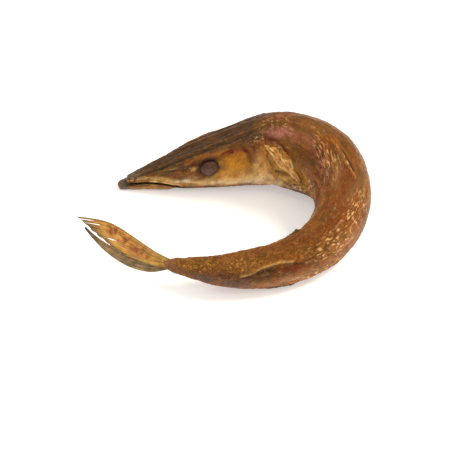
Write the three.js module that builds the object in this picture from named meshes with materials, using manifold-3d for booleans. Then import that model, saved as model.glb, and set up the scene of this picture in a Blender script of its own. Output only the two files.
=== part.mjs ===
// A whole smoked sennet (a slender barracuda), set hard in a hoop: it lies on its belly with the
// tail curled round beside the head. Millimetres, +Z up.
//
// The fish is first made straight, in its own coordinates (along, across, up): along runs from the
// tip of the lower jaw to the tail, across points to its right flank, and up is measured from the
// middle of the body. Then every vertex is carried onto the curved spine.
import * as THREE from "three";
import { mergeVertices } from "three/addons/utils/BufferGeometryUtils.js";
import Module from "manifold-3d";

// The spine, seen from above: where the jaw tip lies, which way the head points in degrees, and the
// arcs of the hoop behind it, each as [length, turn]: head, nape, tight bend, slack arm, tail.
const jawTip = { x: -71.5, y: 36.5 };
const headPoints = 6;
const arcs = [[80, 0], [40, 30], [62, 80], [72, 62], [96, 38], [50, 0]];
// How far the body is rolled about its spine, in degrees: the back leans into the hoop.
const rolls = [[0, 0], [110, 0], [145, 8], [215, 32], [310, 42], [400, 46]];
// Half of the body's depth: jaw tip, eye, deepest, behind the bend, vent, end of the tail's stalk.
const depths = [[0, 3], [60, 17], [130, 26], [190, 17], [260, 12], [322, 2.5]];
// The breadth as a share of the depth, less where the stalk is pinched, and how full the section
// is: 2 is an ellipse.
const flatness = [[0, 0.92], [270, 0.92], [322, 0.6]];
const fullness = { head: 2.5, body: 2.15, headEnd: 60, bodyStart: 120 };
// How far the belly stands off the floor, or is pressed into it where it is below zero.
const lifts = [[0, 0], [60, 0], [100, 2], [130, -0.5], [220, -0.5], [250, 0], [310, 10], [400, 22]];
// How far the left flank is drawn in where the body bends round it.
const tucks = [[0, 0], [110, 0], [145, 2], [205, 0], [400, 0]];
// The line of the mouth, measured up from the middle of the body.
const mouthLine = [[-6, 1], [18, 0], [30, -3], [44, -9.5]];

const snout = { setBack: 6, blunt: 4 };
const mouth = { front: -8, corner: 44, gape: 1.6, corneredGape: 0.4, headRoom: 40 };
const lowerJaw = { root: 66, inset: 0.4, around: 18, rings: 20, pace: 1.5, blunt: 2 };
const trunk = { end: 322, around: 32, rings: 80, pace: 1.15 };
const gillCover = { front: 74, edge: 103, lip: 1.4, sweep: 9 };
// What lies on both flanks: where its front end is, how far round from the flank's middle in
// degrees, its size, and how many degrees its tip drops.
const eye = { at: 52, rise: 25, length: 13, width: 11.5, thick: 3.4, drop: 0 };
const pectoralFin = { at: 99, rise: 36, length: 37, width: 10, thick: 2, drop: 20 };
const pelvicFin = { at: 120, rise: -20, length: 32, width: 5, thick: 2.4, drop: -6 };
const leafSides = 10;
// What stands along the back or the belly: how deep those fins are rooted, how far their ends sink
// under the skin, and the two powers that shape their crest.
const firstDorsal = { from: 140, to: 168, height: 1.8, thick: 2.4 };
const secondDorsal = { from: 218, to: 248, height: 1.6, thick: 1.4 };
const analFin = { from: 230, to: 258, height: 1.4, thick: 1.4 };
const lowFin = { root: 2.5, sink: 0.3, lean: 0.6, round: 0.7 };
// The closed tail fin: the outline of each lobe as [along, up], and how far the lobes lie apart.
const tailFin = {
  thick: 1.3,
  offset: 0.35,
  upperLobe: { foot: [312, -2], root: [312, 3], leading: [346, 16], tip: [377, 8], trailing: [352, -3] },
  lowerLobe: { foot: [312, 1], root: [312, -3], leading: [338, -17], tip: [370, 3], trailing: [346, -6] },
  curveSteps: 8,
};
const spineLength = 400;
const floorCut = { reach: 400, deep: 60 };
const weld = 1e-4;
const skinColour = 0x8a4f1c;

const wasm = await Module();
wasm.setup();

const radians = THREE.MathUtils.degToRad;

// A smooth curve through [place, value] pairs that never overshoots them.
function smoothThrough(pairs) {
  const slope = pairs.slice(1).map(([x, y], i) => (y - pairs[i][1]) / (x - pairs[i][0]));
  const tangent = pairs.map((pair, i) => {
    if (i === 0) return slope[0];
    if (i === slope.length) return slope[i - 1];
    const [before, after] = [slope[i - 1], slope[i]];
    return before * after > 0 ? (2 * before * after) / (before + after) : 0;
  });
  return (x) => {
    const last = pairs.length - 2;
    let i = pairs.findIndex(([place]) => place > x) - 1;
    if (i < 0) i = x < pairs[0][0] ? 0 : last;
    const width = pairs[i + 1][0] - pairs[i][0];
    const t = THREE.MathUtils.clamp((x - pairs[i][0]) / width, 0, 1);
    const start = (1 + 2 * t) * (1 - t) ** 2 * pairs[i][1] + t * (1 - t) ** 2 * width * tangent[i];
    const end = t * t * (3 - 2 * t) * pairs[i + 1][1] + t * t * (t - 1) * width * tangent[i + 1];
    return start + end;
  };
}

// The heading where each arc ends, starting from the head's.
const headings = arcs.reduce((ends, [length, turn]) => {
  const [along, points] = ends[ends.length - 1];
  return [...ends, [along + length, points - turn]];
}, [[0, headPoints]]);

const heading = smoothThrough(headings);
const roll = smoothThrough(rolls);
const depth = smoothThrough(depths);
const flat = smoothThrough(flatness);
const breadth = (along) => depth(along) * flat(along);
const lift = smoothThrough(lifts);
const height = (along) => depth(along) + lift(along);
const tuck = smoothThrough(tucks);
const mouthAt = smoothThrough(mouthLine);

// Points of the spine, one to each millimetre, by adding up small steps along the heading.
const spine = [new THREE.Vector2(jawTip.x, jawTip.y)];
for (let along = 0; along < spineLength; along += 1) {
  const turn = radians(heading(along + 0.5));
  const last = spine[spine.length - 1];
  spine.push(new THREE.Vector2(last.x + Math.cos(turn), last.y + Math.sin(turn)));
}

// Carries a point of the straight fish onto the curved spine.
function bend(point) {
  const step = THREE.MathUtils.clamp(Math.floor(point.x), 0, spine.length - 2);
  const base = spine[step].clone().lerp(spine[step + 1], point.x - step);
  const turn = radians(heading(point.x));
  const lean = radians(roll(point.x));
  const across = point.y * Math.cos(lean) - point.z * Math.sin(lean);
  const up = point.y * Math.sin(lean) + point.z * Math.cos(lean);
  return point.set(
    base.x - across * Math.sin(turn),
    base.y + across * Math.cos(turn),
    height(point.x) + up,
  );
}

function moveVertices(geometry, move) {
  const places = geometry.getAttribute("position");
  const point = new THREE.Vector3();
  for (let i = 0; i < places.count; i += 1) {
    move(point.fromBufferAttribute(places, i));
    places.setXYZ(i, point.x, point.y, point.z);
  }
  return geometry;
}

function solidFrom(geometry) {
  const bare = geometry.clone();
  bare.deleteAttribute("normal");
  bare.deleteAttribute("uv");
  const merged = mergeVertices(bare, weld);
  return new wasm.Manifold(new wasm.Mesh({
    numProp: 3,
    vertProperties: merged.getAttribute("position").array,
    triVerts: new Uint32Array(merged.index.array),
  }));
}

function geometryFrom(solid) {
  const mesh = solid.getMesh();
  const geometry = new THREE.BufferGeometry();
  geometry.setAttribute("position", new THREE.BufferAttribute(mesh.vertProperties, 3));
  geometry.setIndex(new THREE.BufferAttribute(mesh.triVerts, 1));
  return geometry;
}

// A point on the skin: angle 0 is the right flank, 90 degrees the back, 180 the left flank.
function onSkin(along, angle, target) {
  const { head, body, headEnd, bodyStart } = fullness;
  const place = THREE.MathUtils.clamp(along, headEnd, bodyStart);
  const power = 2 / THREE.MathUtils.mapLinear(place, headEnd, bodyStart, head, body);
  const [side, rise] = [Math.cos(angle), Math.sin(angle)];
  const across = breadth(along) * Math.sign(side) * Math.abs(side) ** power;
  const up = depth(along) * Math.sign(rise) * Math.abs(rise) ** power;
  return target.set(along, across + Math.max(0, -side) * tuck(along), up);
}

// The gill cover's free edge stands proud of the skin behind it, and sweeps back lower down.
function gillLip(along, angle) {
  const edge = gillCover.edge - gillCover.sweep * Math.max(0, Math.sin(angle));
  if (along < gillCover.front || along > edge) return 0;
  const growth = (along - gillCover.front) / (edge - gillCover.front);
  return gillCover.lip * Math.cos(angle) ** 2 * growth ** 2;
}

// A ball stretched over a length of the body, from one place along it to another. A pace over 1
// crowds its rings towards the front, where it ends bluntly.
function bodyLength({ from, to, around, rings, pace, blunt, inset = 0 }) {
  const ball = new THREE.SphereGeometry(1, around, rings);
  return moveVertices(ball, (point) => {
    const share = 1 - Math.acos(THREE.MathUtils.clamp(-point.y, -1, 1)) / Math.PI;
    const along = from + (to - from) * share ** pace;
    const angle = Math.atan2(point.z, point.x);
    const atPole = Math.hypot(point.x, point.z) < 1e-6;
    const nose = Math.sqrt(THREE.MathUtils.clamp((along - from) / blunt, 0, 1));
    const proud = gillLip(along, angle) - inset;
    onSkin(along, angle, point);
    point.y = atPole ? 0 : (point.y + Math.cos(angle) * proud) * nose;
    point.z = atPole ? 0 : (point.z + Math.sin(angle) * proud) * nose;
  });
}

// A flat outline, drawn along the fish and up, given a thickness across it.
function uprightPlate(outline, thick) {
  const shape = new THREE.Shape(outline.map(([along, up]) => new THREE.Vector2(along, up)));
  const plate = new THREE.ExtrudeGeometry(shape, { depth: thick, bevelEnabled: false });
  return plate.translate(0, 0, -thick / 2).rotateX(Math.PI / 2);
}

// The closed outline between two curves that give a height for each place along the fish.
function between(from, to, lower, upper, steps = 9) {
  const places = Array.from({ length: steps + 1 }, (_, i) => from + ((to - from) * i) / steps);
  const there = places.map((along) => [along, lower(along)]);
  const back = places.reverse().map((along) => [along, upper(along)]);
  return [...there, ...back];
}

function makeTrunk() {
  const { setBack, blunt } = snout;
  return solidFrom(bodyLength({ ...trunk, from: setBack, to: trunk.end, blunt }));
}

function makeLowerJaw() {
  return solidFrom(bodyLength({ ...lowerJaw, from: 0, to: lowerJaw.root }));
}

// Both jaws, parted by the slit of the mouth, which narrows to its corner.
function partJaws(upper, lower) {
  const { front, corner, gape, corneredGape, headRoom } = mouth;
  const half = (along) => THREE.MathUtils.mapLinear(Math.max(along, 0), 0, corner, gape, corneredGape) / 2;
  const underUpper = between(front, corner, () => -headRoom, (along) => mouthAt(along) + half(along));
  const overLower = between(front, corner, (along) => mouthAt(along) - half(along), () => headRoom);
  return upper
    .subtract(solidFrom(uprightPlate(underUpper, 2 * headRoom)))
    .add(lower.subtract(solidFrom(uprightPlate(overLower, 2 * headRoom))));
}

// A rounded leaf laid on one flank: side is 1 for the right flank and -1 for the left.
function onFlank({ at, rise, length, width, thick, drop }, side) {
  const leaf = new THREE.SphereGeometry(1, leafSides, leafSides);
  leaf.scale(length / 2, thick / 2, width / 2).translate(length / 2, 0, 0);
  leaf.rotateY(radians(drop * side));
  const middle = side > 0 ? radians(rise) : Math.PI - radians(rise);
  return solidFrom(moveVertices(leaf, (point) => {
    const along = at + point.x;
    const angle = middle + (2 * point.z) / (depth(along) + breadth(along));
    const proud = point.y;
    onSkin(along, angle, point);
    point.y += Math.cos(angle) * proud;
    point.z += Math.sin(angle) * proud;
  }));
}

// A low fin that stands along the back (side 1) or hangs along the belly (side -1).
function onEdge({ from, to, height: tall, thick }, side) {
  const { root, sink, lean, round } = lowFin;
  const crest = (along) => Math.sin(Math.PI * ((along - from) / (to - from)) ** lean) ** round;
  const bottom = (along) => side * (depth(along) - root);
  const edge = (along) => side * (depth(along) + tall * crest(along) - sink);
  return solidFrom(uprightPlate(between(from, to, bottom, edge), thick));
}

// One lobe of the tail fin: its two edges run to the tip, each drawn towards a point beside it.
function lobeOutline({ foot, root, leading, tip, trailing }) {
  const lobe = new THREE.Shape().moveTo(...foot).lineTo(...root);
  lobe.quadraticCurveTo(...leading, ...tip).quadraticCurveTo(...trailing, ...foot);
  return lobe.getPoints(tailFin.curveSteps).slice(0, -1).map((point) => [point.x, point.y]);
}

function makeTailFin() {
  const { thick, offset, upperLobe, lowerLobe } = tailFin;
  const upper = uprightPlate(lobeOutline(upperLobe), thick).translate(0, offset, 0);
  const lower = uprightPlate(lobeOutline(lowerLobe), thick).translate(0, -offset, 0);
  return solidFrom(upper).add(solidFrom(lower));
}

// The whole fish, still straight.
function makeStraightFish() {
  let fish = partJaws(makeTrunk(), makeLowerJaw());
  for (const side of [1, -1]) {
    for (const piece of [eye, pectoralFin, pelvicFin]) fish = fish.add(onFlank(piece, side));
  }
  return fish
    .add(onEdge(firstDorsal, 1))
    .add(onEdge(secondDorsal, 1))
    .add(onEdge(analFin, -1))
    .add(makeTailFin());
}

// The floor presses the belly and the jaw flat where they touch it.
function pressOnFloor(fish) {
  const { reach, deep } = floorCut;
  const ground = new THREE.BoxGeometry(reach, reach, deep).translate(0, 0, -deep / 2);
  return fish.subtract(solidFrom(ground));
}

function makeFish() {
  const curved = moveVertices(geometryFrom(makeStraightFish()), bend);
  const geometry = geometryFrom(pressOnFloor(solidFrom(curved)));
  geometry.computeBoundingBox();
  const middle = geometry.boundingBox.getCenter(new THREE.Vector3());
  geometry.translate(-middle.x, -middle.y, -geometry.boundingBox.min.z);
  geometry.computeVertexNormals();
  const skin = new THREE.MeshStandardMaterial({ color: skinColour, roughness: 0.38, metalness: 0 });
  const fish = new THREE.Mesh(geometry, skin);
  fish.name = "fish";
  return fish;
}

const part = new THREE.Group();
part.add(makeFish());

export default part;
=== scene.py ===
import math

import bpy
import numpy as np
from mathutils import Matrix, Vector, noise


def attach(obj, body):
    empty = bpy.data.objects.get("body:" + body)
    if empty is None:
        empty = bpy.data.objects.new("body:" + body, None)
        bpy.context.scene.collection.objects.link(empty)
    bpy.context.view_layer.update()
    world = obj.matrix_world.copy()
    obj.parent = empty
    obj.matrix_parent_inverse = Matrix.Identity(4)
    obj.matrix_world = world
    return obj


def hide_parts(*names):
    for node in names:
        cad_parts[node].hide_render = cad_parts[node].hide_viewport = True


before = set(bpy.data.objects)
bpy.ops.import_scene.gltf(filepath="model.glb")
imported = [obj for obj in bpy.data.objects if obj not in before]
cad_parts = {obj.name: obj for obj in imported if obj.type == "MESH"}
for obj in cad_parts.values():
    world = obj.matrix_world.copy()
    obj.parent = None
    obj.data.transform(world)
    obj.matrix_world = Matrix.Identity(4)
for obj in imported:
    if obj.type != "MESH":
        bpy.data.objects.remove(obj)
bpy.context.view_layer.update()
print("frame loaded")

# camera, floor and light

view = {
    "aim": (-0.0005, -0.003, 0.0),   # the point that the lens looks at
    "distance": 0.816,
    "elevation": 42.0,                  # degrees above the floor
    "lens": 100.0,
    "floorSize": 6.0,
    "floorColour": (0.93, 0.925, 0.92),
    "floorGlow": 0.38,                  # the table is lit from below
    "skyColour": (1.0, 0.965, 0.91),
    "skyStrength": 0.64,
    "skyMirrored": 0.5,                 # how bright the sky looks in the oily skin
    "floorMirrored": 0.75,              # and the table
    "keyPlace": (0.92, 0.25, 1.05),       # soft box to the right and a little behind
    "keySize": 0.5,
    "keyPower": 14.0,
    "lampColour": (1.0, 0.925, 0.8),
    "sparkPlaces": [(0.9, -0.25, 0.55), (0.15, 0.8, 0.9), (-0.2, -0.5, 1.2)],   # small ones, for glints
    "sparkSize": 0.1,
    "sparkPower": 0.9,
}


def setSockets(shader, values):
    for name, value in values.items():
        shader.inputs[name].default_value = value


def lampAt(name, place, size, power):
    bpy.ops.object.light_add(type="AREA", location=place)
    lamp = bpy.context.object
    lamp.name = name
    lamp.data.size = size
    lamp.data.energy = power
    lamp.data.color = view["lampColour"]
    lamp.rotation_euler = (-Vector(place)).to_track_quat("-Z", "Y").to_euler()


def setStage():
    tilt = math.radians(view["elevation"])
    aim = Vector(view["aim"])
    place = aim + view["distance"] * Vector((0, -math.cos(tilt), math.sin(tilt)))
    bpy.ops.object.camera_add(location=place, rotation=(math.pi / 2 - tilt, 0, 0))
    camera = bpy.context.object
    camera.data.lens = view["lens"]
    camera.data.clip_start = 0.01
    bpy.context.scene.camera = camera

    bpy.ops.mesh.primitive_plane_add(size=view["floorSize"], location=(0, 0, 0))
    floor = bpy.context.object
    floor.name = "floor"
    paper = bpy.data.materials.new("floorPaper")
    paper.use_nodes = True
    shader = paper.node_tree.nodes["Principled BSDF"]
    setSockets(shader, {
        "Base Color": (*view["floorColour"], 1),
        "Roughness": 0.9,
        "Emission Color": (1, 1, 1, 1),
        "Emission Strength": view["floorGlow"],
    })
    rays = paper.node_tree.nodes.new("ShaderNodeLightPath")
    dimmed = paper.node_tree.nodes.new("ShaderNodeMapRange")
    dimmed.inputs["To Max"].default_value = 1 - view["floorMirrored"]
    nothing = paper.node_tree.nodes.new("ShaderNodeEmission")
    nothing.inputs["Strength"].default_value = 0
    both = paper.node_tree.nodes.new("ShaderNodeMixShader")
    paper.node_tree.links.new(rays.outputs["Is Glossy Ray"], dimmed.inputs["Value"])
    paper.node_tree.links.new(dimmed.outputs["Result"], both.inputs[0])
    paper.node_tree.links.new(shader.outputs[0], both.inputs[1])
    paper.node_tree.links.new(nothing.outputs[0], both.inputs[2])
    paper.node_tree.links.new(both.outputs[0], paper.node_tree.nodes["Material Output"].inputs["Surface"])
    floor.data.materials.append(paper)

    world = bpy.data.worlds.new("studio")
    bpy.context.scene.world = world
    world.use_nodes = True
    sky = world.node_tree.nodes["Background"]
    sky.inputs["Color"].default_value = (*view["skyColour"], 1)
    rays = world.node_tree.nodes.new("ShaderNodeLightPath")
    strength = world.node_tree.nodes.new("ShaderNodeMapRange")
    strength.inputs["To Min"].default_value = view["skyStrength"]
    strength.inputs["To Max"].default_value = view["skyMirrored"]
    world.node_tree.links.new(rays.outputs["Is Glossy Ray"], strength.inputs["Value"])
    world.node_tree.links.new(strength.outputs["Result"], sky.inputs["Strength"])
    lampAt("keyLamp", view["keyPlace"], view["keySize"], view["keyPower"])
    bpy.context.object.visible_glossy = False       # the small lamps alone are mirrored in the skin
    for number, place in enumerate(view["sparkPlaces"]):
        lampAt(f"sparkLamp{number}", place, view["sparkSize"], view["sparkPower"])
    bpy.context.scene.view_settings.view_transform = "Standard"


setStage()
print("stage set")

# the fish's own coordinates
# The fish is modelled straight, in millimetres: x runs from the jaw tip to the tail, y to its right
# flank and z to its back, with the middle of the body at zero. Carrying bends it into its hoop.

spine = {
    "jawTip": (-71.5, 36.5),
    "length": 400,
    "headPoints": 6,            # degrees
    "arcs": [(80, 0), (40, 30), (62, 80), (72, 62), (96, 38), (50, 0)],    # each one's length and turn
    "rolls": [(0, 0), (110, 0), (145, 8), (215, 32), (310, 42), (400, 46)],
    "lifts": [(0, 0), (60, 0), (100, 2), (130, -0.5), (220, -0.5), (250, 0), (310, 10), (400, 22)],
}
girth = {
    "depths": [(0, 3), (60, 17), (130, 26), (190, 17), (260, 12), (322, 2.5)],
    "flatness": [(0, 0.92), (270, 0.92), (322, 0.6)],       # breadth as a share of depth
    "tucks": [(0, 0), (110, 0), (145, 2), (205, 0), (400, 0)],
    "mouthLine": [(-6, 1), (18, 0), (30, -3), (44, -9.5), (66, -12)],
    "headEnd": 60,              # from here to the body's start the section changes its fullness
    "bodyStart": 120,
    "headFullness": 2.5,        # 2 is an ellipse
    "bodyFullness": 2.15,
}


# a smooth curve through (place, value) pairs that never overshoots them
def smoothThrough(pairs):
    places, values = np.array(pairs, float).T
    slopes = np.diff(values) / np.diff(places)
    before, after = slopes[:-1], slopes[1:]
    rising = before * after > 0
    inner = np.where(rising, 2 * before * after / np.where(rising, before + after, 1), 0)
    tangents = np.concatenate([slopes[:1], inner, slopes[-1:]])

    def at(x):
        x = np.asarray(x, float)
        i = np.clip(np.searchsorted(places, x, side="right") - 1, 0, len(slopes) - 1)
        width = places[i + 1] - places[i]
        t = np.clip((x - places[i]) / width, 0, 1)
        start = (1 + 2 * t) * (1 - t) ** 2 * values[i] + t * (1 - t) ** 2 * width * tangents[i]
        end = t * t * (3 - 2 * t) * values[i + 1] + t * t * (t - 1) * width * tangents[i + 1]
        return start + end

    return at


arcSteps = [(length, -turn) for length, turn in spine["arcs"]]
headingAt = smoothThrough(np.cumsum([(0, spine["headPoints"])] + arcSteps, axis=0))
rollAt = smoothThrough(spine["rolls"])
liftAt = smoothThrough(spine["lifts"])
depthAt = smoothThrough(girth["depths"])
flatnessAt = smoothThrough(girth["flatness"])
tuckAt = smoothThrough(girth["tucks"])
mouthAt = smoothThrough(girth["mouthLine"])

stepTurns = np.radians(headingAt(np.arange(spine["length"]) + 0.5))
spineX = spine["jawTip"][0] + np.concatenate([[0], np.cumsum(np.cos(stepTurns))])
spineY = spine["jawTip"][1] + np.concatenate([[0], np.cumsum(np.sin(stepTurns))])
spinePlaces = np.arange(spine["length"] + 1)


def breadthAt(along):
    return depthAt(along) * flatnessAt(along)


def heightAt(along):
    return depthAt(along) + liftAt(along)


# bends points of the straight fish into the hoop, in metres
def carry(points):
    along, across, up = points.T
    turn, lean = np.radians(headingAt(along)), np.radians(rollAt(along))
    side = across * np.cos(lean) - up * np.sin(lean)
    rise = across * np.sin(lean) + up * np.cos(lean)
    overshoot = np.minimum(along, 0)
    x = np.interp(along, spinePlaces, spineX) + overshoot * np.cos(turn) - side * np.sin(turn)
    y = np.interp(along, spinePlaces, spineY) + overshoot * np.sin(turn) + side * np.cos(turn)
    z = np.maximum(heightAt(along) + rise, 0)
    return np.stack([x, y, z], axis=1) / 1000


# the smooth skin at an angle: 0 is the right flank, 90 the back, 180 the left flank
def onSkin(along, angle):
    turn = np.radians(angle)
    between = [girth["headEnd"], girth["bodyStart"]]
    fullness = np.interp(along, between, [girth["headFullness"], girth["bodyFullness"]])
    side, rise = np.cos(turn), np.sin(turn)
    across = breadthAt(along) * np.sign(side) * np.abs(side) ** (2 / fullness)
    up = depthAt(along) * np.sign(rise) * np.abs(rise) ** (2 / fullness)
    return np.stack([along, across + np.maximum(0, -side) * tuckAt(along), up], axis=1)


def outward(angle):
    turn = np.radians(angle)
    return np.stack([np.zeros_like(turn), np.cos(turn), np.sin(turn)], axis=1)


# tools shared by the pieces

def deselect():
    if bpy.context.mode != "OBJECT":
        bpy.ops.object.mode_set(mode="OBJECT")
    bpy.ops.object.select_all(action="DESELECT")


def verticesOf(piece):
    places = np.empty(len(piece.data.vertices) * 3)
    piece.data.vertices.foreach_get("co", places)
    return places.reshape(-1, 3)


def moveVertices(piece, places):
    piece.data.vertices.foreach_set("co", places.ravel())
    piece.data.update()


# keeps one number for each vertex, or one vector, that the materials read
def paint(piece, name, values):
    kind, key = ("FLOAT", "value") if values.ndim == 1 else ("FLOAT_VECTOR", "vector")
    layer = piece.data.attributes.new(name, kind, "POINT")
    layer.data.foreach_set(key, np.ascontiguousarray(values, np.float32).ravel())


# closes the piece, keeps its straight shape for the materials and bends it into the hoop
def finishPiece(piece, name):
    piece.name = name
    deselect()
    piece.select_set(True)
    bpy.context.view_layer.objects.active = piece
    bpy.ops.object.mode_set(mode="EDIT")
    bpy.ops.mesh.select_all(action="SELECT")
    bpy.ops.mesh.remove_doubles(threshold=0.004)
    bpy.ops.mesh.normals_make_consistent(inside=False)
    bpy.ops.object.mode_set(mode="OBJECT")
    straight = verticesOf(piece)
    paint(piece, "place", straight)
    moveVertices(piece, carry(straight))
    bpy.ops.object.shade_smooth()
    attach(piece, "root")
    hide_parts("fish")


# smooth noise about zero, with hills about a size apart; size may differ along x, y and z
def bumps(points, size, octaves=2, seed=0):
    shift = Vector((17.3, 5.1, 9.7)) * (seed + 1)
    scaled = points / np.asarray(size, float)
    return np.array([noise.fractal(Vector(p) + shift, 1.0, 2.0, octaves) for p in scaled])


# noise with sharp crests, between 0 and 1
def creases(points, size, octaves=2, seed=0):
    return np.clip(1 - 2.2 * np.abs(bumps(points, size, octaves, seed)), 0, 1)


def rampUp(x, low, high):
    t = np.clip((x - low) / (high - low), 0, 1)
    return t * t * (3 - 2 * t)


# a soft spot on the skin, 1 at its centre, reaching so many millimetres and degrees
def spot(along, angle, centre, reach):
    turn = (angle - centre[1] + 180) % 360 - 180
    return np.exp(-((along - centre[0]) / reach[0]) ** 2 - (turn / reach[1]) ** 2)


# millimetres from a line drawn on the skin; positive to its left, looking from its start
def nearLine(along, angle, line):
    signed = np.full(along.shape, 1e3)
    for (startAlong, startAngle), (endAlong, endAngle) in zip(line, line[1:]):
        middle = (startAlong + endAlong) / 2
        arc = math.radians((depthAt(middle) + breadthAt(middle)) / 2)   # millimetres to a degree
        goAlong, goRound = endAlong - startAlong, ((endAngle - startAngle + 180) % 360 - 180) * arc
        x, y = along - startAlong, ((angle - startAngle + 180) % 360 - 180) * arc
        part = np.clip((x * goAlong + y * goRound) / (goAlong ** 2 + goRound ** 2), 0, 1)
        distance = np.hypot(x - part * goAlong, y - part * goRound)
        side = np.where(goAlong * y - goRound * x < 0, -1, 1)
        signed = np.where(distance < np.abs(signed), side * distance, signed)
    return signed


# a tube one unit in radius along x, with a ring at each stop, then subdivided
def growTube(sides, stops, rounds):
    deselect()
    bpy.ops.mesh.primitive_circle_add(vertices=sides, radius=1, rotation=(0, math.pi / 2, 0))
    tube = bpy.context.object
    bpy.ops.object.transform_apply(location=True, rotation=True, scale=True)
    bpy.ops.object.mode_set(mode="EDIT")
    bpy.ops.mesh.select_all(action="SELECT")
    bpy.ops.transform.translate(value=(stops[0], 0, 0))
    for step in np.diff(stops):
        bpy.ops.mesh.extrude_region_move(TRANSFORM_OT_translate={"value": (float(step), 0, 0)})
    bpy.ops.object.mode_set(mode="OBJECT")
    finer = tube.modifiers.new("finer", "SUBSURF")
    finer.subdivision_type = "SIMPLE"
    finer.levels = finer.render_levels = rounds
    bpy.ops.object.modifier_apply(modifier=finer.name)
    return tube


def aroundTube(tube):
    places = verticesOf(tube)
    return places[:, 0], np.degrees(np.arctan2(places[:, 2], places[:, 1]))


# the body

skin = {
    "sides": 48,
    "rounds": 2,
    "front": 3.2,               # the snout starts behind the tip of the lower jaw
    "end": 322.0,
    "endRings": 3.0,            # how long the crowded rings at its hind end are
    "snoutBlunt": 2.2,
    "tailBlunt": 14.0,
    "mouthCorner": 40.0,
    "gape": (1.3, 0.2),         # half of the mouth's opening, at the tip and at the corner
    # raised and sunk lines on both flanks, given for the left one: how wide, how high, where
    "headLines": [
        (1.6, 0.9, [(44, 138), (50, 131), (58, 129), (66, 134)]),                 # brow
        (1.1, 0.4, [(12, 142), (30, 136), (46, 124), (80, 116)]),                 # skull ridges
        (0.9, -0.45, [(14, 128), (34, 124), (60, 112), (88, 108)]),
        (1.0, 0.35, [(12, 114), (34, 112), (60, 102), (90, 100)]),
        (1.0, -0.4, [(16, 94), (50, 92), (88, 91)]),
        (1.0, 0.45, [(9, 168), (20, 174), (30, 183), (38, 198), (45, 204)]),      # lip
        (0.8, -0.45, [(12, 157), (22, 163), (32, 171), (42, 176)]),
        (0.7, 0.3, [(16, 146), (28, 150), (38, 158), (45, 166)]),                 # upper jaw bone
        (1.6, -0.5, [(43, 178), (50, 186)]),                                      # hollow at its end
        (1.2, 0.6, [(40, 193), (50, 203), (58, 196)]),                            # corner of the mouth
        (1.2, -0.6, [(81, 134), (84, 150), (86.5, 166)]),                         # cheek's hind groove
        (0.8, -0.3, [(87, 140), (89, 152), (90, 164)]),
        (1.2, -0.8, [(66, 136), (68, 152), (66, 168)]),                           # behind the eye
        (2.2, 0.6, [(70, 150), (76, 143), (82, 146)]),                            # cheek's top
    ],
    "cheeks": [((74, 174), (9, 24), 0.8), ((96, 166), (6, 24), 0.5)],
    "gillEdge": [(93, 106), (96, 126), (100, 162), (106, 180), (112, 184), (109, 202), (99, 228), (88, 258)],
    # lines on one flank only
    "bodyLines": [
        (1.3, -0.5, [(97, 127), (106, 134), (117, 144), (130, 153)]),             # over the pectoral
        (0.8, -0.3, [(103, 186), (110, 182), (118, 181), (124, 182)]),            # under it
        (1.3, 0.9, [(108, 190), (118, 196), (129, 195), (145, 190), (161, 184)]),
        (2.0, 0.4, [(104, 218), (118, 212), (131, 203)]),                         # belly flap
        (0.9, -1.1, [(155, 75), (162, 68), (167, 57)]),                           # first dorsal's slot
        (0.8, 0.7, [(146, 83), (156, 77), (163, 71), (168.5, 59), (171, 50)]),
        (0.8, 0.4, [(146, 77), (154, 71), (161, 63), (166, 52)]),
        (1.4, 0.7, [(156, 144), (170, 128), (182, 114), (194, 102)]),             # fold inside the bend
        (0.7, 0.45, [(205, 97), (230, 96), (260, 94), (300, 88)]),                # fold along the back
    ],
    "flankCrease": [(234, -3), (239, 3), (246, 9), (252, 7), (257, 3), (263, -9), (268, -16), (275, -33)],
    # dried wrinkles: middle, reach, size of a wrinkle (along, across, up), height
    "wrinkles": [
        ((106, 98), (16, 22), (3.2, 2.6, 2.6), 0.36),      # crest behind the head
        ((91, 130), (7, 18), (2.8, 2.2, 2.2), 0.4),
        ((49, 156), (6, 14), (2.4, 1.8, 1.8), 0.5),        # in front of the eye
        ((9, 130), (7, 60), (2.0, 1.6, 1.6), 0.4),         # the tip of the snout
        ((158, 103), (21, 21), (11, 2.5, 2.5), 0.75),       # long ones where the body bends
        ((162, 176), (18, 34), (3.6, 9, 9), 0.7),          # across the inside of the bend
        ((191, 20), (16, 26), (8, 2.6, 2.6), 0.6),
        ((213, 4), (18, 28), (8, 2.6, 2.6), 0.7),
        ((222, -60), (24, 26), (4.5, 3.2, 3.2), 0.7),
        ((118, 216), (16, 22), (8, 2.5, 2.5), 0.25),
        ((110, 152), (16, 16), (3, 2.4, 2.4), 0.5),        # under and round the pectoral
    ],
}


# 1 on the rim of either eye
def eyeDistance(along, angle):
    rise = np.degrees(np.arcsin(np.sin(np.radians(angle))))
    return np.hypot((along - eyes["along"]) / eyes["radius"], (rise - eyes["rise"]) / eyes["riseReach"])


eyes = {
    "along": 59.0,
    "rise": 17.0,           # degrees above the middle of the flank
    "radius": 7.0,
    "riseReach": 22.0,
    "dome": 2.8,
    "proud": 0.7,
    "wrinkle": 0.3,
}


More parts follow.
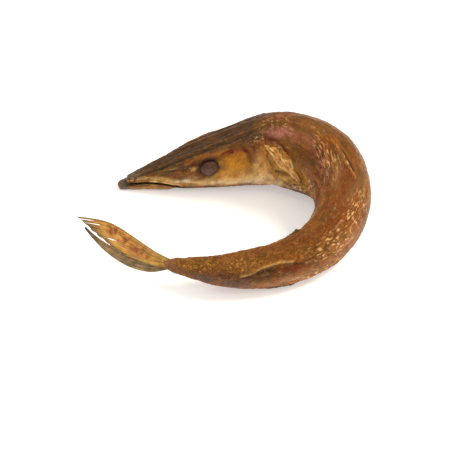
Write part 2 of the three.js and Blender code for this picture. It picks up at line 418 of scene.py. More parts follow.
def headRelief(along, angle):
    relief = np.zeros_like(along)
    for flank in (angle, 180 - angle):
        for width, height, line in skin["headLines"]:
            relief += height * np.exp(-(nearLine(along, flank, line) / width) ** 2)
        for centre, reach, height in skin["cheeks"]:
            relief += height * spot(along, flank, centre, reach)
        # the gill cover's free edge lies over the skin behind it
        behind = -nearLine(along, flank, skin["gillEdge"])
        cover = np.where(behind < 0, 0.9 * np.exp(behind / 7), -0.5 * np.exp(-behind / 4))
        turn = (flank - 180 + 180) % 360 - 180      # degrees round from the middle of the flank
        relief += cover * rampUp(turn, -66, -40) * (1 - rampUp(turn, 50, 80))
    around = eyeDistance(along, angle)
    relief += 0.25 * np.exp(-((around - 1.4) / 0.18) ** 2)
    relief -= 1.5 * (1 - rampUp(around, 0.75, 1.25))
    return relief


def bodyRelief(along, angle, points):
    relief = -1.3 * spot(along, angle, (136, 200), (20, 34))     # drawn in round the inside of the bend
    for width, height, line in skin["bodyLines"]:
        relief += height * np.exp(-(nearLine(along, angle, line) / width) ** 2)
    above = nearLine(along, angle, skin["flankCrease"])
    fold = np.where(above > 0, 0.45 * np.exp(-above / 3.5), -1.1 * np.exp(above / 3))
    relief += np.where(np.abs(above) < 20, fold, 0)
    for number, (centre, reach, size, height) in enumerate(skin["wrinkles"]):
        there = spot(along, angle, centre, reach)
        near = there > 0.02
        dried = np.zeros_like(along)
        dried[near] = 2 * creases(points[near], size, 2, number + 10) - 1
        relief += height * there * dried
    return relief


# how crumpled the skin is, 0 to 1
def crumpled(along, angle):
    places = [min(1, 1.4 * height) * spot(along, angle, centre, reach)
              for centre, reach, size, height in skin["wrinkles"]]
    return np.maximum(np.max(places, axis=0), 0.15 * rampUp(along, 90, 120))


# closes the two ends of a tube roundly
def sectionFade(along, front, end):
    nose = np.sqrt(np.clip((along - front) / skin["snoutBlunt"], 0, 1))
    return nose * np.sqrt(np.clip((end - along) / skin["tailBlunt"], 0, 1))


def halfGape(along):
    return np.interp(along, [0, skin["mouthCorner"]], skin["gape"])


def makeBody():
    trunkEnd = skin["end"] - skin["endRings"]
    stops = np.concatenate([
        skin["front"] + 4.8 * np.linspace(0, 1, 7)[:-1] ** 2,
        np.arange(8, 112, 2.0),
        np.linspace(112, trunkEnd, 56)[:-1],
        skin["end"] - skin["endRings"] * np.linspace(1, 0, 6) ** 2])
    body = growTube(skin["sides"], stops, skin["rounds"])
    along, angle = aroundTube(body)
    smooth = onSkin(along, angle)
    leather = 0.6 * bumps(smooth, 22, 2, 1) + 0.35 * bumps(smooth, 8, 2, 2)
    fine = 0.16 * (2 * creases(smooth, 3.2, 3, 3) - 1)
    head = headRelief(along, angle)
    torso = bodyRelief(along, angle, smooth)
    fineRelief = head + torso + fine
    fade = sectionFade(along, skin["front"], skin["end"])
    calm = np.minimum(1, depthAt(along) / 14)      # less of it where the fish is slender
    lift = (leather + fineRelief) * (0.35 + 0.65 * calm)
    shape = smooth + outward(angle) * lift[:, None]
    shape[:, 1:] *= fade[:, None]
    shape[:, 1] *= 1 - 0.7 * rampUp(along, 306, 320)      # pressed flat between the tail's lobes
    # the roof of the mouth
    roof = mouthAt(along) + halfGape(along)
    inMouth = along < skin["mouthCorner"]
    shape[:, 2] = np.where(inMouth, np.maximum(shape[:, 2], roof), shape[:, 2])
    moveVertices(body, shape)
    paint(body, "relief", fineRelief)
    paint(body, "crumple", crumpled(along, angle))
    paint(body, "longFolds", spot(along, angle, (158, 104), (26, 30)))
    paintSkin(body, along, angle, smooth)
    # painted shade inside the mouth, on the roof's inner surface
    inner = rampUp(breadthAt(along) - np.abs(shape[:, 1]), 0.5, 1.2)
    paint(body, "mouth", np.where(inMouth & (shape[:, 2] < roof + 0.15), inner, 0.0))
    body.data.materials.append(skinMaterial)
    finishPiece(body, "body")
    return body


jawPlan = {
    "sides": 32,
    "rounds": 2,
    "front": -1.8,
    "end": 66,
    "endRings": 3,
    "knob": 0.1,            # the tip stands up in front of the snout
}


def makeLowerJaw():
    front, end, endRings = jawPlan["front"], jawPlan["end"], jawPlan["endRings"]
    stops = np.concatenate([
        front + 4.8 * np.linspace(0, 1, 8)[:-1] ** 2,
        np.arange(3, 62, 2.0),
        end - endRings * np.linspace(1, 0, 5) ** 2])
    jaw = growTube(jawPlan["sides"], stops, jawPlan["rounds"])
    along, angle = aroundTube(jaw)
    smooth = onSkin(along, angle)
    relief = 0.2 * bumps(smooth, 9, 2, 31) + 0.12 * (2 * creases(smooth, (6, 2, 2), 2, 32) - 1)
    inset = -1.0 + 3.8 * rampUp(along, 30, 48)
    shape = smooth + outward(angle) * (relief - inset)[:, None]
    nose = np.sqrt(np.clip((along - front) / -front, 0, 1))
    fade = nose * np.sqrt(np.clip((end - along) / endRings, 0, 1))
    shape[:, 1:] *= fade[:, None]
    knob = jawPlan["knob"] * (1 - rampUp(along, 2.2, 4.4))
    floorOfMouth = mouthAt(along) - halfGape(along) + knob
    shape[:, 2] = np.minimum(shape[:, 2], floorOfMouth - 0.25 * rampUp(along, 8, 12))
    moveVertices(jaw, shape)
    paint(jaw, "relief", relief)
    paint(jaw, "crumple", np.full_like(along, 0.1))
    paintSkin(jaw, along, angle, smooth)
    # painted shade inside the mouth, on the jaw's inner surface
    inner = rampUp(breadthAt(along) - np.abs(shape[:, 1]), 0.5, 1.2)
    paint(jaw, "mouth", np.where(shape[:, 2] > floorOfMouth - 0.4, inner * rampUp(along, 5, 8), 0.0))
    jaw.data.materials.append(skinMaterial)
    finishPiece(jaw, "lowerJaw")


# the smoked skin

# colours are given as they look on screen, 0 to 255
tones = {
    "under": (102, 62, 18),       # the broad browns under everything
    "over": (148, 92, 26),
    "rusty": (146, 74, 28),
    "mossy": (108, 80, 18),
    "high": (194, 120, 40),       # a paler tan; on raised relief and on scales it is painted highlight
    "glint": (250, 204, 142),
    "dark": (88, 65, 38),
    "grey": (114, 106, 92),
    "amber": (234, 172, 46),
    "pale": (248, 208, 124),
    "red": (116, 46, 18),
    "mauve": (174, 112, 98),
    # painted sheen along the rims
    "rimSheen": (188, 140, 98),
    "copper": (122, 64, 10),
    "umber": (74, 38, 22),
    "cream": (255, 236, 190),
    "olive": (104, 74, 16),
    "purple": (104, 80, 72),
    "gold": (222, 160, 72),
    # painted shade in grooves, pits, slots and round the eye, and the dark of the skull's streaks
    "darkStreakAndShade": (38, 23, 13),
    "skullStreak": (134, 100, 62),
    "mouthShade": (44, 27, 18),
    "speckle": (225, 205, 190),
    "eyeDeep": (74, 44, 34),
    "eyeHazy": (112, 74, 56),
    "eyeRimShade": (44, 26, 20),
    "webGlow": (250, 206, 120),
    "finCrestHighlight": (255, 224, 160),
}
# where each tone lies: spots are (middle, reach, strength), lines are (width, strength, places)
headPaint = {
    "dark": {
        "spots": [((89, 118), (13, 15), 1.6), ((49, 140), (8, 9), 0.8), ((59, 131), (11, 7), 0.9),
                  ((24, 90), (20, 40), 1.2),
                  ((64, 90), (28, 17), 0.75)],
        "lines": [(6.5, 2.0, [(16, 112), (40, 116), (84, 104)]),
                  (3, 0.35, [(18, 140), (34, 138), (46, 140)])],
    },
    "grey": {"spots": [((1, 180), (5, 400), 0.95), ((8, 112), (6, 45), 0.75)]},
    "amber": {
        "spots": [((75, 163), (9, 24), 1.0), ((70, 178), (9, 13), 0.9), ((82, 158), (5, 20), 0.85),
                  ((69, 132), (5, 8), 0.4)],
    },
    "pale": {
        "spots": [((74, 196), (16, 15), 0.95), ((95, 182), (8, 26), 1.0), ((104, 193), (8, 14), 0.85),
                  ((60, 196), (9, 9), 0.8), ((49, 158), (2, 5), 0.8), ((48, 182), (3.5, 6), 0.35),
                  ((33, 143), (8, 8), 0.2)],
        "lines": [(1.0, 0.85, [(20, 178), (26, 184), (32, 190), (40, 200)]),
                  (0.7, 0.7, [(44, 190), (52, 194)]),
                  (1.6, 0.3, [(6, 204), (24, 207), (40, 216)]),
                  (1.4, 0.5, [(12, 156), (18, 157), (24, 168), (30, 179), (38, 190), (44, 199)])],
    },
    "cream": {
        "spots": [((97, 207), (15, 13), 1.1), ((43, 187), (5, 5), 0.6), ((64, 197), (10, 8), 0.6),
                  ((80, 204), (12, 8), 0.6)],
        "lines": [(0.8, 0.5, [(34, 186), (40, 187), (46, 190)]),
                  (0.6, 0.5, [(20, 180), (30, 188), (40, 199)])],
    },
    "umber": {"spots": [((49, 143), (8, 9), 0.8), ((17, 168), (5, 12), 0.5)],
              "lines": [(1.1, 0.8, [(39, 182), (46, 185), (52, 188)])]},
    "red": {
        "spots": [((77, 136), (8, 10), 0.9), ((34, 174), (7, 7), 0.2)],
        "lines": [(1.7, 1.5, [(80, 132), (84, 144), (86, 156), (88, 174)]),
                  (1.1, 1.0, [(88, 138), (90, 158)]),
                  (1.2, 0.9, [(68, 134), (74, 131), (80, 132)])],
    },
    # painted shade along the skull's grooves
    "darkStreakAndShade": {
        "lines": [(0.6, 0.45, [(20, 128), (34, 124), (60, 112), (88, 108)]),
                  (0.6, 0.3, [(18, 146), (40, 134), (60, 126)]),
                  (0.6, 0.35, [(24, 104), (50, 98), (84, 94)]),
                  (0.8, 0.6, [(18, 140), (30, 146), (42, 156)])],
    },
}
bodyPaint = {
    "red": {
        "spots": [((239, -8), (7, 13), 0.9), ((170, 62), (9, 14), 0.45), ((104, 190), (3.5, 14), 0.7),
                  ((124, 200), (14, 7), 0.6)],
        "lines": [(2.2, 0.75, [(97, 126), (106, 134), (117, 144), (130, 153)]),
                  (2.4, 0.5, [(104, 214), (131, 202)])],
    },
    "mauve": {"spots": [((110, 118), (12, 10), 1.2), ((136, 112), (12, 10), 0.4),
                        ((163, 112), (15, 14), 0.45),
                        ((150, 150), (12, 10), 0.4)]},
    # painted sheen: paler skin along the rims where the fish turns away
    "rimSheen": {"spots": [((230, -48), (30, 22), 0.8), ((206, -14), (14, 16), 0.5), ((206, 112), (24, 14), 0.6),
                      ((232, 96), (14, 12), 0.8), ((172, 164), (12, 18), 0.6), ((313, 10), (7, 90), 0.6),
                      ((180, 48), (12, 20), 0.4), ((170, 87), (10, 12), 0.35)]},
    "umber": {"spots": [((121, 138), (14, 11), 1.1), ((271, -14), (14, 11), 1.3),
                        ((250, -19), (10, 8), 0.6), ((150, 128), (10, 8), 0.3)]},
    "copper": {"spots": [((210, 44), (24, 20), 1.1), ((249, 22), (12, 12), 0.5),
                         ((182, 64), (14, 16), 0.5), ((236, 62), (22, 24), 0.5)]},
    "amber": {"spots": [((116, 160), (17, 22), 0.8), ((146, 170), (14, 16), 0.5), ((126, 179), (15, 9), 0.9),
                        ((323, 20), (4, 70), 0.4)],
              "lines": [(2.2, 0.9, [(112, 192), (129, 192), (145, 189), (161, 184)])]},
    "olive": {
        "spots": [((130, 101), (13, 12), 0.7), ((132, 74), (14, 14), 0.6), ((259, -27), (8, 12), 0.9),
                  ((103, 104), (10, 12), 0.7),
                  ((225, -40), (14, 16), 0.3), ((172, 46), (13, 16), 0.4), ((262, 30), (40, 40), 0.4)],
    },
    "purple": {
        "spots": [((274, -42), (13, 22), 0.95), ((289, -38), (12, 22), 0.9), ((304, -30), (9, 24), 0.6)],
        "lines": [(1.0, 0.5, [(246, 100), (270, 98), (306, 92)])],
    },
    "pale": {
        "spots": [((111, 203), (8, 9), 0.7), ((121, 190), (9, 5), 0.6)],
        # painted highlight along the crests of the folds
        "lines": [(0.8, 0.5, [(196, 118), (205, 111), (232, 97), (260, 96)]),
                  (0.8, 0.7, [(239, 4), (246, 10.5), (252, 8.5), (257, 4.5), (263, -7.5), (268, -14)])],
    },
    # gilt scales; the lines along the raised ridges and the spots in the bend are also painted highlight
    "gold": {
        "spots": [((268, 20), (15, 28), 0.85), ((292, 12), (13, 30), 0.9), ((190, 24), (12, 20), 0.3),
                  ((214, 12), (14, 30), 0.4), ((240, 30), (20, 26), 0.2)],
        "lines": [(1.3, 0.9, [(108, 190), (118, 196), (129, 195), (145, 190), (161, 184)]),
                  (0.7, 0.9, [(146, 82), (156, 76), (163, 70), (168.5, 58), (171, 49)]),
                  (1.0, 0.6, [(156, 144), (170, 128), (182, 114), (194, 102)])],
    },
    # painted shade in the grooves, the first dorsal's slot, beside the back's fold and under the flank crease
    "darkStreakAndShade": {
        "spots": [((254, -4), (10, 8), 0.7)],
        "lines": [(0.7, 0.5, [(103, 186), (110, 182), (118, 181), (124, 182)]),
                  (0.7, 0.95, [(157, 73), (162, 68), (167, 57)]),
                  (0.8, 0.2, [(98, 126), (106, 132), (117, 142)]),
                  (0.7, 0.4, [(246, 100), (270, 98), (300, 94)])],
    },
}
toneOrder = ["rimSheen", "dark", "olive", "copper", "umber", "purple", "amber", "mauve", "red", "pale",
             "cream", "grey", "gold", "darkStreakAndShade"]


# lays the tones on as masks, with ragged borders
def paintSkin(piece, along, angle, points):
    ragged = 1 + 0.9 * bumps(points, 5, 3, 41)
    for tone in toneOrder:
        mask = np.zeros_like(along)
        onHead, onBody = headPaint.get(tone, {}), bodyPaint.get(tone, {})
        for layer, flank in ((onHead, angle), (onHead, 180 - angle), (onBody, angle)):
            for centre, reach, strength in layer.get("spots", []):
                mask = np.maximum(mask, strength * spot(along, flank, centre, reach))
            for width, strength, line in layer.get("lines", []):
                mask = np.maximum(mask, strength * np.exp(-(nearLine(along, flank, line) / width) ** 2))
        paint(piece, tone, np.clip(mask * ragged, 0, 1))
    # painted shade round the eye socket, darkest ahead of and above the eye
    around = eyeDistance(along, angle)
    rise = np.degrees(np.arcsin(np.sin(np.radians(angle))))
    ahead = 0.5 * (eyes["along"] - along) / eyes["radius"]
    shaded = (ahead + 0.6 * (rise - eyes["rise"]) / eyes["riseReach"]) * ragged
    paint(piece, "socket", np.exp(-((around - 1.08) / 0.28) ** 2) * np.clip(0.4 + 0.9 * shaded, 0.15, 0.85))
    paint(piece, "scaly", rampUp(along, 165, 240) * (1 - rampUp(along, 305, 318)))


# turns a colour as it looks on screen into the light values that the shaders use
def screenColour(name):
    values = np.array(tones[name] if isinstance(name, str) else name) / 255
    return (*np.where(values < 0.04045, values / 12.92, ((values + 0.055) / 1.055) ** 2.4), 1)


def addNode(tree, kind, inputs=None, **settings):
    node = tree.nodes.new("ShaderNode" + kind)
    for name, value in settings.items():
        setattr(node, name, value)
    for name, value in (inputs or {}).items():
        if isinstance(value, bpy.types.NodeSocket):
            tree.links.new(value, node.inputs[name])
        else:
            node.inputs[name].default_value = value
    return node


# sockets 0, 6 and 7 of a colour mix are its factor and its two colours
def blendColours(tree, factor, first, second, how="MIX"):
    return addNode(tree, "Mix", {0: factor, 6: first, 7: second}, data_type="RGBA", blend_type=how).outputs[2]


def calculate(tree, how, first, second=0.0, clamp=False):
    return addNode(tree, "Math", {0: first, 1: second}, operation=how, use_clamp=clamp).outputs[0]


def multiply(tree, first, second):
    return calculate(tree, "MULTIPLY", first, second)


# lays a tone over a colour
def tinted(tree, factor, colour, name):
    return blendColours(tree, factor, colour, screenColour(name))


def stretch(tree, value, low, high, toLow=0.0, toHigh=1.0):
    return addNode(tree, "MapRange", {"Value": value, "From Min": low, "From Max": high, "To Min": toLow,
                                      "To Max": toHigh}).outputs["Result"]


def painted(tree, name):
    return addNode(tree, "Attribute", attribute_name=name).outputs["Fac"]


def straightPlace(tree, squeeze=(1, 1, 1)):
    place = addNode(tree, "Attribute", attribute_name="place").outputs["Vector"]
    return addNode(tree, "Mapping", {"Vector": place, "Scale": squeeze}).outputs["Vector"]


# noise with patches about a size apart, in millimetres
def grain(tree, size, detail=3.0, squeeze=(1, 1, 1), rough=0.55):
    place = straightPlace(tree, squeeze)
    wanted = {"Vector": place, "Scale": 1 / size, "Detail": detail, "Roughness": rough}
    return addNode(tree, "TexNoise", wanted).outputs["Fac"]


def newFinish(name):
    finish = bpy.data.materials.new(name)
    finish.use_nodes = True
    return finish, finish.node_tree, finish.node_tree.nodes["Principled BSDF"]


def makeSkinMaterial():
    finish, tree, shader = newFinish("smokedSkin")
    colour = blendColours(tree, stretch(tree, grain(tree, 16, 4), 0.36, 0.66), screenColour("under"),
                          screenColour("over"))
    colour = tinted(tree, stretch(tree, grain(tree, 11, 3), 0.52, 0.66, 0, 0.8), colour, "mossy")
    colour = tinted(tree, stretch(tree, grain(tree, 9, 3), 0.48, 0.34, 0, 0.7), colour, "rusty")
    streaks = grain(tree, 2.6, 5, (0.35, 1, 1), 0.65)
    colour = tinted(tree, stretch(tree, streaks, 0.52, 0.72, 0, 0.4), colour, "high")
    colour = tinted(tree, stretch(tree, streaks, 0.46, 0.3, 0, 0.45), colour, "under")
    # scales catch the light one by one
    scale = addNode(tree, "TexVoronoi", {"Vector": straightPlace(tree, (0.8, 1, 1)), "Scale": 1 / 1.15})
    lot = addNode(tree, "SeparateColor", {"Color": scale.outputs["Color"]}).outputs["Red"]
    shine = multiply(tree, stretch(tree, lot, 0.5, 1.0, 0, 0.6), painted(tree, "scaly"))
    shade = multiply(tree, stretch(tree, lot, 0.3, 0.0, 0, 0.35), painted(tree, "scaly"))
    colour = tinted(tree, shine, colour, "high")
    colour = tinted(tree, shade, colour, "dark")
    speckle = grain(tree, 0.9, 2)
    near = stretch(tree, scale.outputs["Distance"], 0.58, 0.26)
    dot = multiply(tree, near, stretch(tree, lot, 0.15, 0.75))
    fibre = grain(tree, 1.2, 3, (0.08, 1, 1), 0.6)
    for tone in toneOrder:
        mask = painted(tree, tone)
        if tone == "gold":      # gilt scales, one by one; along the ridges and in the bend the gold is also painted highlight
            colour = tinted(tree, multiply(tree, mask, 0.35), colour, "under")
            mask = multiply(tree, mask, calculate(tree, "MAXIMUM", dot, 0.1))
        colour = tinted(tree, mask, colour, tone)
        if tone == "dark":      # the dried skull is streaked lengthwise
            pale = multiply(tree, stretch(tree, fibre, 0.5, 0.66, 0, 0.5), mask)
            deep = multiply(tree, stretch(tree, fibre, 0.48, 0.32, 0, 0.55), mask)
            colour = tinted(tree, pale, colour, "skullStreak")
            colour = tinted(tree, deep, colour, "darkStreakAndShade")
    # fine dashes, with painted glints on their crests and painted shade in their pits; they stand up most
    # where the skin is crumpled
    crumple = painted(tree, "crumple")
    long = painted(tree, "longFolds")
    dashes = addNode(tree, "Mix", {0: long, 2: grain(tree, 1.3, 3, (0.36, 1, 1), 0.5),
                                   3: grain(tree, 1.3, 3, (0.16, 1, 1), 0.5)}).outputs[0]
    pit = multiply(tree, stretch(tree, dashes, 0.44, 0.32), crumple)
    colour = tinted(tree, multiply(tree, pit, 0.35), colour, "darkStreakAndShade")
    patches = calculate(tree, "MAXIMUM", stretch(tree, grain(tree, 5, 2), 0.4, 0.54), long)
    crest = multiply(tree, stretch(tree, dashes, 0.53, 0.59), patches)
    crest = multiply(tree, crest, stretch(tree, crumple, 0.1, 0.8, 0, 0.95))
    crest = multiply(tree, crest, stretch(tree, long, 0, 1, 1, 0.7))
    colour = tinted(tree, crest, colour, "glint")
    relief = painted(tree, "relief")
    # painted shade in the hollows of the relief and painted highlight on its raised parts
    colour = tinted(tree, stretch(tree, relief, -0.4, -1.7, 0, 0.7), colour, "darkStreakAndShade")
    colour = tinted(tree, stretch(tree, relief, 0.1, 0.8, 0, 0.5), colour, "high")
    # painted shade round the eye socket and inside the mouth
    colour = tinted(tree, multiply(tree, painted(tree, "socket"), 0.68), colour, "darkStreakAndShade")
    colour = tinted(tree, multiply(tree, painted(tree, "mouth"), 0.95), colour, "mouthShade")
    colour = blendColours(tree, stretch(tree, speckle, 0.35, 0.65, 0.0, 1.0), colour,
                          blendColours(tree, 1.0, colour, screenColour("speckle"), "MULTIPLY"))
    tree.links.new(colour, shader.inputs["Base Color"])
    tree.links.new(stretch(tree, grain(tree, 5, 3), 0.3, 0.7, 0.48, 0.68), shader.inputs["Roughness"])
    setSockets(shader, {
        "IOR": 1.22,
        "Specular IOR Level": 0.5,
        "Coat Weight": 0.5,
        "Coat IOR": 1.28,
        "Coat Roughness": 0.2,
        "Subsurface Weight": 0.06,
        "Subsurface Radius": (0.6, 0.3, 0.12),
        "Subsurface Scale": 0.003,
    })
    folds = multiply(tree, dashes, stretch(tree, crumple, 0, 1, 0.8, 3.2))
    sunk = multiply(tree, painted(tree, "scaly"), -0.5)
    plates = multiply(tree, scale.outputs["Distance"], sunk)
    fineHeight = calculate(tree, "ADD", calculate(tree, "ADD", folds, plates), grain(tree, 0.9, 3))
    bump = addNode(tree, "Bump", {"Height": fineHeight, "Strength": 1.0, "Distance": 0.0005})
    tree.links.new(bump.outputs["Normal"], shader.inputs["Normal"])
    return finish


skinMaterial = makeSkinMaterial()

# eyes


def makeEyeMaterial():
    finish, tree, shader = newFinish("driedEye")
    edge = painted(tree, "rim")
    haze = grain(tree, 2.2, 4)
    colour = tinted(tree, stretch(tree, haze, 0.35, 0.65), screenColour("eyeDeep"), "eyeHazy")
    # painted shade where the ball sinks into its socket
    colour = tinted(tree, stretch(tree, edge, 0.72, 1.0), colour, "eyeRimShade")
    tree.links.new(colour, shader.inputs["Base Color"])
    tree.links.new(stretch(tree, haze, 0.3, 0.7, 0.45, 0.65), shader.inputs["Roughness"])
    setSockets(shader, {
        "IOR": 1.25,
        "Coat Weight": 0.4,
        "Coat Roughness": 0.06,
    })
    bump = addNode(tree, "Bump", {"Height": grain(tree, 1.0, 3), "Strength": 0.5, "Distance": 0.0004})
    tree.links.new(bump.outputs["Normal"], shader.inputs["Normal"])
    return finish


eyeMaterial = makeEyeMaterial()


def makeEye(name, side):
    deselect()
    bpy.ops.mesh.primitive_uv_sphere_add(segments=48, ring_count=32, radius=1)
    eye = bpy.context.object
    ball = verticesOf(eye)
    wide = eyes["radius"] * 0.92
    along = eyes["along"] + wide * ball[:, 0]
    rise = eyes["rise"] + 0.9 * eyes["riseReach"] * ball[:, 1]
    angle = rise if side > 0 else 180 - rise
    relief = eyes["wrinkle"] * bumps(ball, 0.45, 2, 51 + side)
    lift = eyes["dome"] * ball[:, 2] - eyes["dome"] + eyes["proud"] + relief
    moveVertices(eye, onSkin(along, angle) + outward(angle) * lift[:, None])
    paint(eye, "rim", np.hypot(ball[:, 0], ball[:, 1]))
    eye.data.materials.append(eyeMaterial)
    finishPiece(eye, name)


# fins

lyingFins = {
    "pectoral": {
        "path": [(96.5, 140), (103, 149), (111, 160), (119, 166), (127, 170), (134, 176), (140, 181)],
        "halfWidths": (1.0, 3.0, 4.6, 4.8, 4.0, 2.8, 0.6),
        "crumple": 1.3, "lift": 1.0, "thick": 0.5, "rays": 6,
    },
    "pelvic": {
        "path": [(118, 204), (128, 201), (138, 197), (148, 193)],
        "halfWidths": (1.8, 2.4, 2.0, 0.5),
        "crumple": 0.4, "lift": 1.0, "thick": 0.6, "rays": 5,
    },
    "firstDorsal": {
        "path": [(148, 80), (155, 75), (162, 68), (168, 56)],
        "halfWidths": (0.3, 0.6, 0.5, 0.2),
        "crumple": 0.15, "lift": 0.1, "thick": 0.5, "rays": 3,
    },
}
standingFins = {
    "secondDorsal": {"from": 222.0, "to": 237.0, "height": 2.2, "thick": 0.7, "root": 2.0, "back": 1,
                     "peak": 0.22},
    "anal": {"from": 231.0, "to": 258.0, "height": 1.4, "thick": 0.7, "root": 2.0, "back": -1, "peak": 0.3},
}


def makeFinMaterial(name, webs, rays, tips, darkSpotAndShade, sheen):
    finish, tree, shader = newFinish(name)
    layout = addNode(tree, "Attribute", attribute_name="layout").outputs["Vector"]
    parts = addNode(tree, "SeparateXYZ", {"Vector": layout}).outputs
    tone = grain(tree, 5, 4)
    colour = blendColours(tree, stretch(tree, tone, 0.35, 0.65), screenColour(webs[0]), screenColour(webs[1]))
    drawnOut = addNode(tree, "Mapping", {"Vector": layout, "Scale": (2.2, 27, 1)}).outputs["Vector"]
    streak = addNode(tree, "TexNoise", {"Vector": drawnOut, "Scale": 1.0, "Detail": 3.0}).outputs["Fac"]
    colour = tinted(tree, stretch(tree, streak, 0.5, 0.66, 0, 0.85), colour, rays)
    # painted glow of light through the thin web between the rays
    colour = tinted(tree, stretch(tree, streak, 0.46, 0.34, 0, 0.5), colour, "webGlow")
    colour = tinted(tree, stretch(tree, parts["X"], 0.86, 1.0, 0, 0.9), colour, tips)
    # painted highlight on the crests of the folds, then dark spots and painted shade in the hollows
    colour = tinted(tree, painted(tree, "crest"), colour, "finCrestHighlight")
    colour = tinted(tree, painted(tree, "darkSpotAndShade"), colour, darkSpotAndShade)
    colour = tinted(tree, multiply(tree, painted(tree, "edge"), 0.85), colour, rays)
    tree.links.new(colour, shader.inputs["Base Color"])
    tree.links.new(stretch(tree, tone, 0.3, 0.7, 0.25, 0.45), shader.inputs["Roughness"])
    setSockets(shader, {
        "Coat Weight": sheen,
        "Coat Roughness": 0.12,
        "Subsurface Weight": 0.35,
        "Subsurface Radius": (1.0, 0.6, 0.25),
        "Subsurface Scale": 0.002,
    })
    bump = addNode(tree, "Bump", {"Height": streak, "Strength": 0.6, "Distance": 0.0004})
    tree.links.new(bump.outputs["Normal"], shader.inputs["Normal"])
    return finish


finMaterials = {
    "pectoral": makeFinMaterial("goldenFin", ((210, 128, 36), (250, 184, 84)), (184, 108, 34), (190, 130, 60),
                                (146, 84, 28), 0.3),
    "pelvic": makeFinMaterial("foldedFin", ((136, 84, 34), (176, 124, 60)), (96, 58, 24), (130, 88, 46),
                              (70, 42, 22), 0.3),
    "dorsal": makeFinMaterial("darkFin", ((84, 62, 30), (126, 92, 46)), (60, 44, 20), (110, 84, 50),
                              (70, 42, 22), 0.2),
    "amberTail": makeFinMaterial("amberTail", ((200, 142, 44), (234, 186, 88)), (120, 92, 34), (92, 80, 60),
                                 (146, 80, 16), 0.3),
    "oliveTail": makeFinMaterial("oliveTail", ((102, 90, 54), (162, 142, 100)), (64, 56, 34), (80, 68, 60),
                                 (60, 52, 32), 0.3),
}


# a flat sheet, and where each vertex lies on it: 0 to 1 from root to tip and from side to side
def newSheet(name, stepsAlong, stepsAcross):
    deselect()
    bpy.ops.mesh.primitive_grid_add(x_subdivisions=stepsAlong, y_subdivisions=stepsAcross, size=2)
    sheet = bpy.context.object
    sheet.name = name
    flat = (verticesOf(sheet) + 1) / 2
    paint(sheet, "layout", np.stack([flat[:, 0], flat[:, 1], np.zeros(len(flat))], axis=1))
    return sheet, flat[:, 0], flat[:, 1]


def thicken(sheet, thickness):
    bpy.context.view_layer.objects.active = sheet
    wall = sheet.modifiers.new("wall", "SOLIDIFY")
    wall.thickness = thickness
    wall.offset = 0
    bpy.ops.object.modifier_apply(modifier=wall.name)


def makeLyingFin(kind, name, side, finish):
    plan = lyingFins[kind]
    sheet, out, over = newSheet(name, 72, 26)
    knots = np.linspace(0, 1, len(plan["path"]))
    along = np.interp(out, knots, [place[0] for place in plan["path"]])
    middle = np.interp(out, knots, [place[1] for place in plan["path"]])
    swing = 2 * over - 1
    seed = 60 + side
    half = smoothThrough(list(zip(knots, plan["halfWidths"])))(out)
    half = half * (1 + 0.45 * bumps(np.stack([out * 5, np.sign(swing) * 3, out * 0], 1), 1, 3, seed + 3))
    arc = np.radians((depthAt(along) + breadthAt(along)) / 2)
    angle = middle - swing * half / arc
    close = 1 if side < 0 else 0.45       # the outer flank's fins are pressed to it
    folds = bumps(np.stack([out * 9, over * 5, out * 0], 1), 1, 4, seed)
    crumple = close * plan["crumple"] * (folds + 0.3 * np.abs(np.sin(math.pi * plan["rays"] * over)))
    lift = (close * plan["lift"] + crumple) * (1 - swing ** 2) - 0.5
    if side > 0:
        angle = 172 - angle
    moveVertices(sheet, onSkin(along, angle) + outward(angle) * lift[:, None])
    # painted shade in the folds' hollows and along the edges, painted highlight on their crests
    edge = 0.4 * np.exp(-((1 - np.abs(swing)) / 0.12) ** 2)
    paint(sheet, "darkSpotAndShade", np.clip(edge - 2.2 * folds - 0.35, 0, 0.8))
    paint(sheet, "crest", np.clip(2.4 * folds - 0.4, 0, 0.7))
    thicken(sheet, plan["thick"])
    sheet.data.materials.append(finMaterials[finish])
    finishPiece(sheet, name)


def makeStandingFin(name):
    plan = standingFins[name]
    sheet, out, over = newSheet(name, 48, 10)
    along = plan["from"] + (plan["to"] - plan["from"]) * out
    crest = np.where(out < plan["peak"], out / plan["peak"], ((1 - out) / (1 - plan["peak"]))) ** 0.8
    ragged = 1 + 0.5 * bumps(np.stack([out * 14, out * 0, out * 0], 1), 1, 2, 71)
    rise = depthAt(along) + over * plan["height"] * crest * ragged - plan["root"] * (1 - over)
    lean = 0.5 * bumps(np.stack([out * 6, over, out * 0], 1), 1, 2, 72)
    moveVertices(sheet, np.stack([along, lean, rise * plan["back"]], 1))
    paint(sheet, "darkSpotAndShade", np.zeros(len(out)))
    thicken(sheet, plan["thick"])
    sheet.data.materials.append(finMaterials["dorsal"])
    finishPiece(sheet, name)


tail = {
    "offset": 0.45,         # how far the two lobes lie apart
    "thick": 0.5,
    "upper": {              # each ray runs from its root, past its middle, to its end
        "rays": 13,
        "rootLow": (311, -2), "rootHigh": (311, 3),
        "pullLow": (325, -3), "pullHigh": (354, 14), "corner": 3.5,
        "endLow": (342, -3), "endPull": (362, 3), "endHigh": (378, 8),
        # on which ray a slit lies, how wide it gets, and from where to where
        "slits": [(0.07, 0.028, 0.8, 1.1), (0.45, 0.022, 0.76, 0.94), (0.62, 0.014, 0.88, 1.1),
                  (0.84, 0.02, 0.84, 1.1),
                  (0.94, 0.014, 0.9, 1.1)],
    },
    "lower": {
        "bottom": ((311, -2.5), (338, -17), (370, 3)),
        "top": ((311, 1), (346, -6), (370, 4)),
        "rays": 5,
    },
}


# a curve from one place to another, drawn towards a third between them
def pulledCurve(start, pull, end, part):
    weights = ((1 - part) ** 2, 2 * part * (1 - part), part ** 2)
    return sum(np.outer(weight, place) for weight, place in zip(weights, (start, pull, end)))


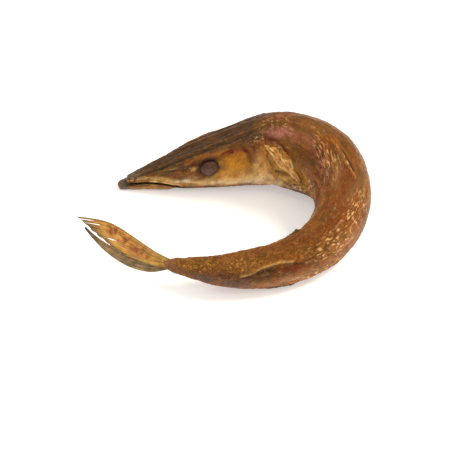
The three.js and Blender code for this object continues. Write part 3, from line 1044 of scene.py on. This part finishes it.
def makeUpperLobe():
    plan = tail["upper"]
    sheet, out, over = newSheet("tailUpper", 90, 78)
    rooted = np.outer(1 - over, plan["rootLow"]) + np.outer(over, plan["rootHigh"])
    pulled = np.outer(1 - over, plan["pullLow"]) + np.outer(over, plan["pullHigh"])
    ended = pulledCurve(plan["endLow"], plan["endPull"], plan["endHigh"], over)
    u = out[:, None]
    # the upper edge turns a corner
    pull = 2 * u * (1 - u) * (1 + (plan["corner"] - 1) * over[:, None] ** 2)
    path = ((1 - u) ** 2 * rooted + pull * pulled + u ** 2 * ended) / ((1 - u) ** 2 + pull + u ** 2)
    # ray tips end unevenly
    number = np.floor(over * plan["rays"])
    uneven = np.array([noise.cell(Vector((n, 3.3, 0))) for n in number])
    path -= (out ** 8 * 2.4 * uneven)[:, None] * np.array([1, 0.1])
    raised = np.abs(np.sin(math.pi * plan["rays"] * over))
    wave = 0.5 * bumps(np.stack([out * 3, over * 2.2, out * 0], 1), 1, 2, 81)
    across = tail["offset"] + wave + 0.28 * raised * (1 - 0.5 * out)
    moveVertices(sheet, np.stack([path[:, 0], across, path[:, 1]], 1))
    brown = np.exp(-((path[:, 0] - 353) / 6) ** 2 - ((path[:, 1] - 9) / 2.8) ** 2)
    brown += np.exp(-((path[:, 0] - 331) / 7) ** 2 - ((path[:, 1] - 2.5) / 3) ** 2)
    brown += 0.8 * np.exp(-((path[:, 0] - 344) / 7) ** 2 - ((path[:, 1] - 5) / 3) ** 2)
    brown *= 1 + 1.6 * bumps(np.stack([path[:, 0], path[:, 1], out * 0], 1), 3, 4, 83)
    paint(sheet, "darkSpotAndShade", np.clip(0.85 * brown + 0.12 * (1 - out) ** 2, 0, 1))
    paint(sheet, "edge", np.exp(-((1 - over) / 0.05) ** 2) + np.exp(-(over / 0.04) ** 2))
    # the web is torn between some of the rays
    bpy.ops.object.mode_set(mode="EDIT")
    bpy.ops.mesh.select_mode(type="FACE")
    bpy.ops.mesh.select_all(action="DESELECT")
    bpy.ops.object.mode_set(mode="OBJECT")
    steps = sheet.data.attributes["layout"].data
    for face in sheet.data.polygons:
        u, v = np.mean([steps[i].vector[:2] for i in face.vertices], axis=0)
        face.select = any(abs(v - at) < wide * math.sqrt(max(0, (u - start) * (end - u))) * 2 / (end - start)
                          for at, wide, start, end in plan["slits"])
    bpy.ops.object.mode_set(mode="EDIT")
    bpy.ops.mesh.delete(type="FACE")
    bpy.ops.object.mode_set(mode="OBJECT")
    thicken(sheet, tail["thick"])
    sheet.data.materials.append(finMaterials["amberTail"])
    finishPiece(sheet, "tailUpper")


def makeLowerLobe():
    plan = tail["lower"]
    sheet, out, over = newSheet("tailLower", 110, 24)
    bottom, top = pulledCurve(*plan["bottom"], out), pulledCurve(*plan["top"], out)
    path = bottom * (1 - over)[:, None] + top * over[:, None]
    raised = np.abs(np.sin(math.pi * plan["rays"] * over))
    wave = 0.3 * bumps(np.stack([out * 8, over * 1.5, out * 0], 1), 1, 2, 82)
    across = -tail["offset"] + 0.25 * raised + wave
    moveVertices(sheet, np.stack([path[:, 0], across, path[:, 1]], 1))
    paint(sheet, "darkSpotAndShade", np.clip(0.8 * np.exp(-((1 - over) / 0.16) ** 2) * (out < 0.5), 0, 1))
    thicken(sheet, tail["thick"])
    sheet.data.materials.append(finMaterials["oliveTail"])
    finishPiece(sheet, "tailLower")


makeBody()
print("body made")
makeLowerJaw()
makeEye("eyeLeft", -1)
makeEye("eyeRight", 1)
print("head made")
for side, mark in ((-1, "Left"), (1, "Right")):
    makeLyingFin("pectoral", "pectoral" + mark, side, "pectoral")
    makeLyingFin("pelvic", "pelvic" + mark, side, "pelvic")
makeLyingFin("firstDorsal", "firstDorsal", -1, "dorsal")
makeStandingFin("secondDorsal")
makeStandingFin("anal")
makeUpperLobe()
makeLowerLobe()
print("fins made")
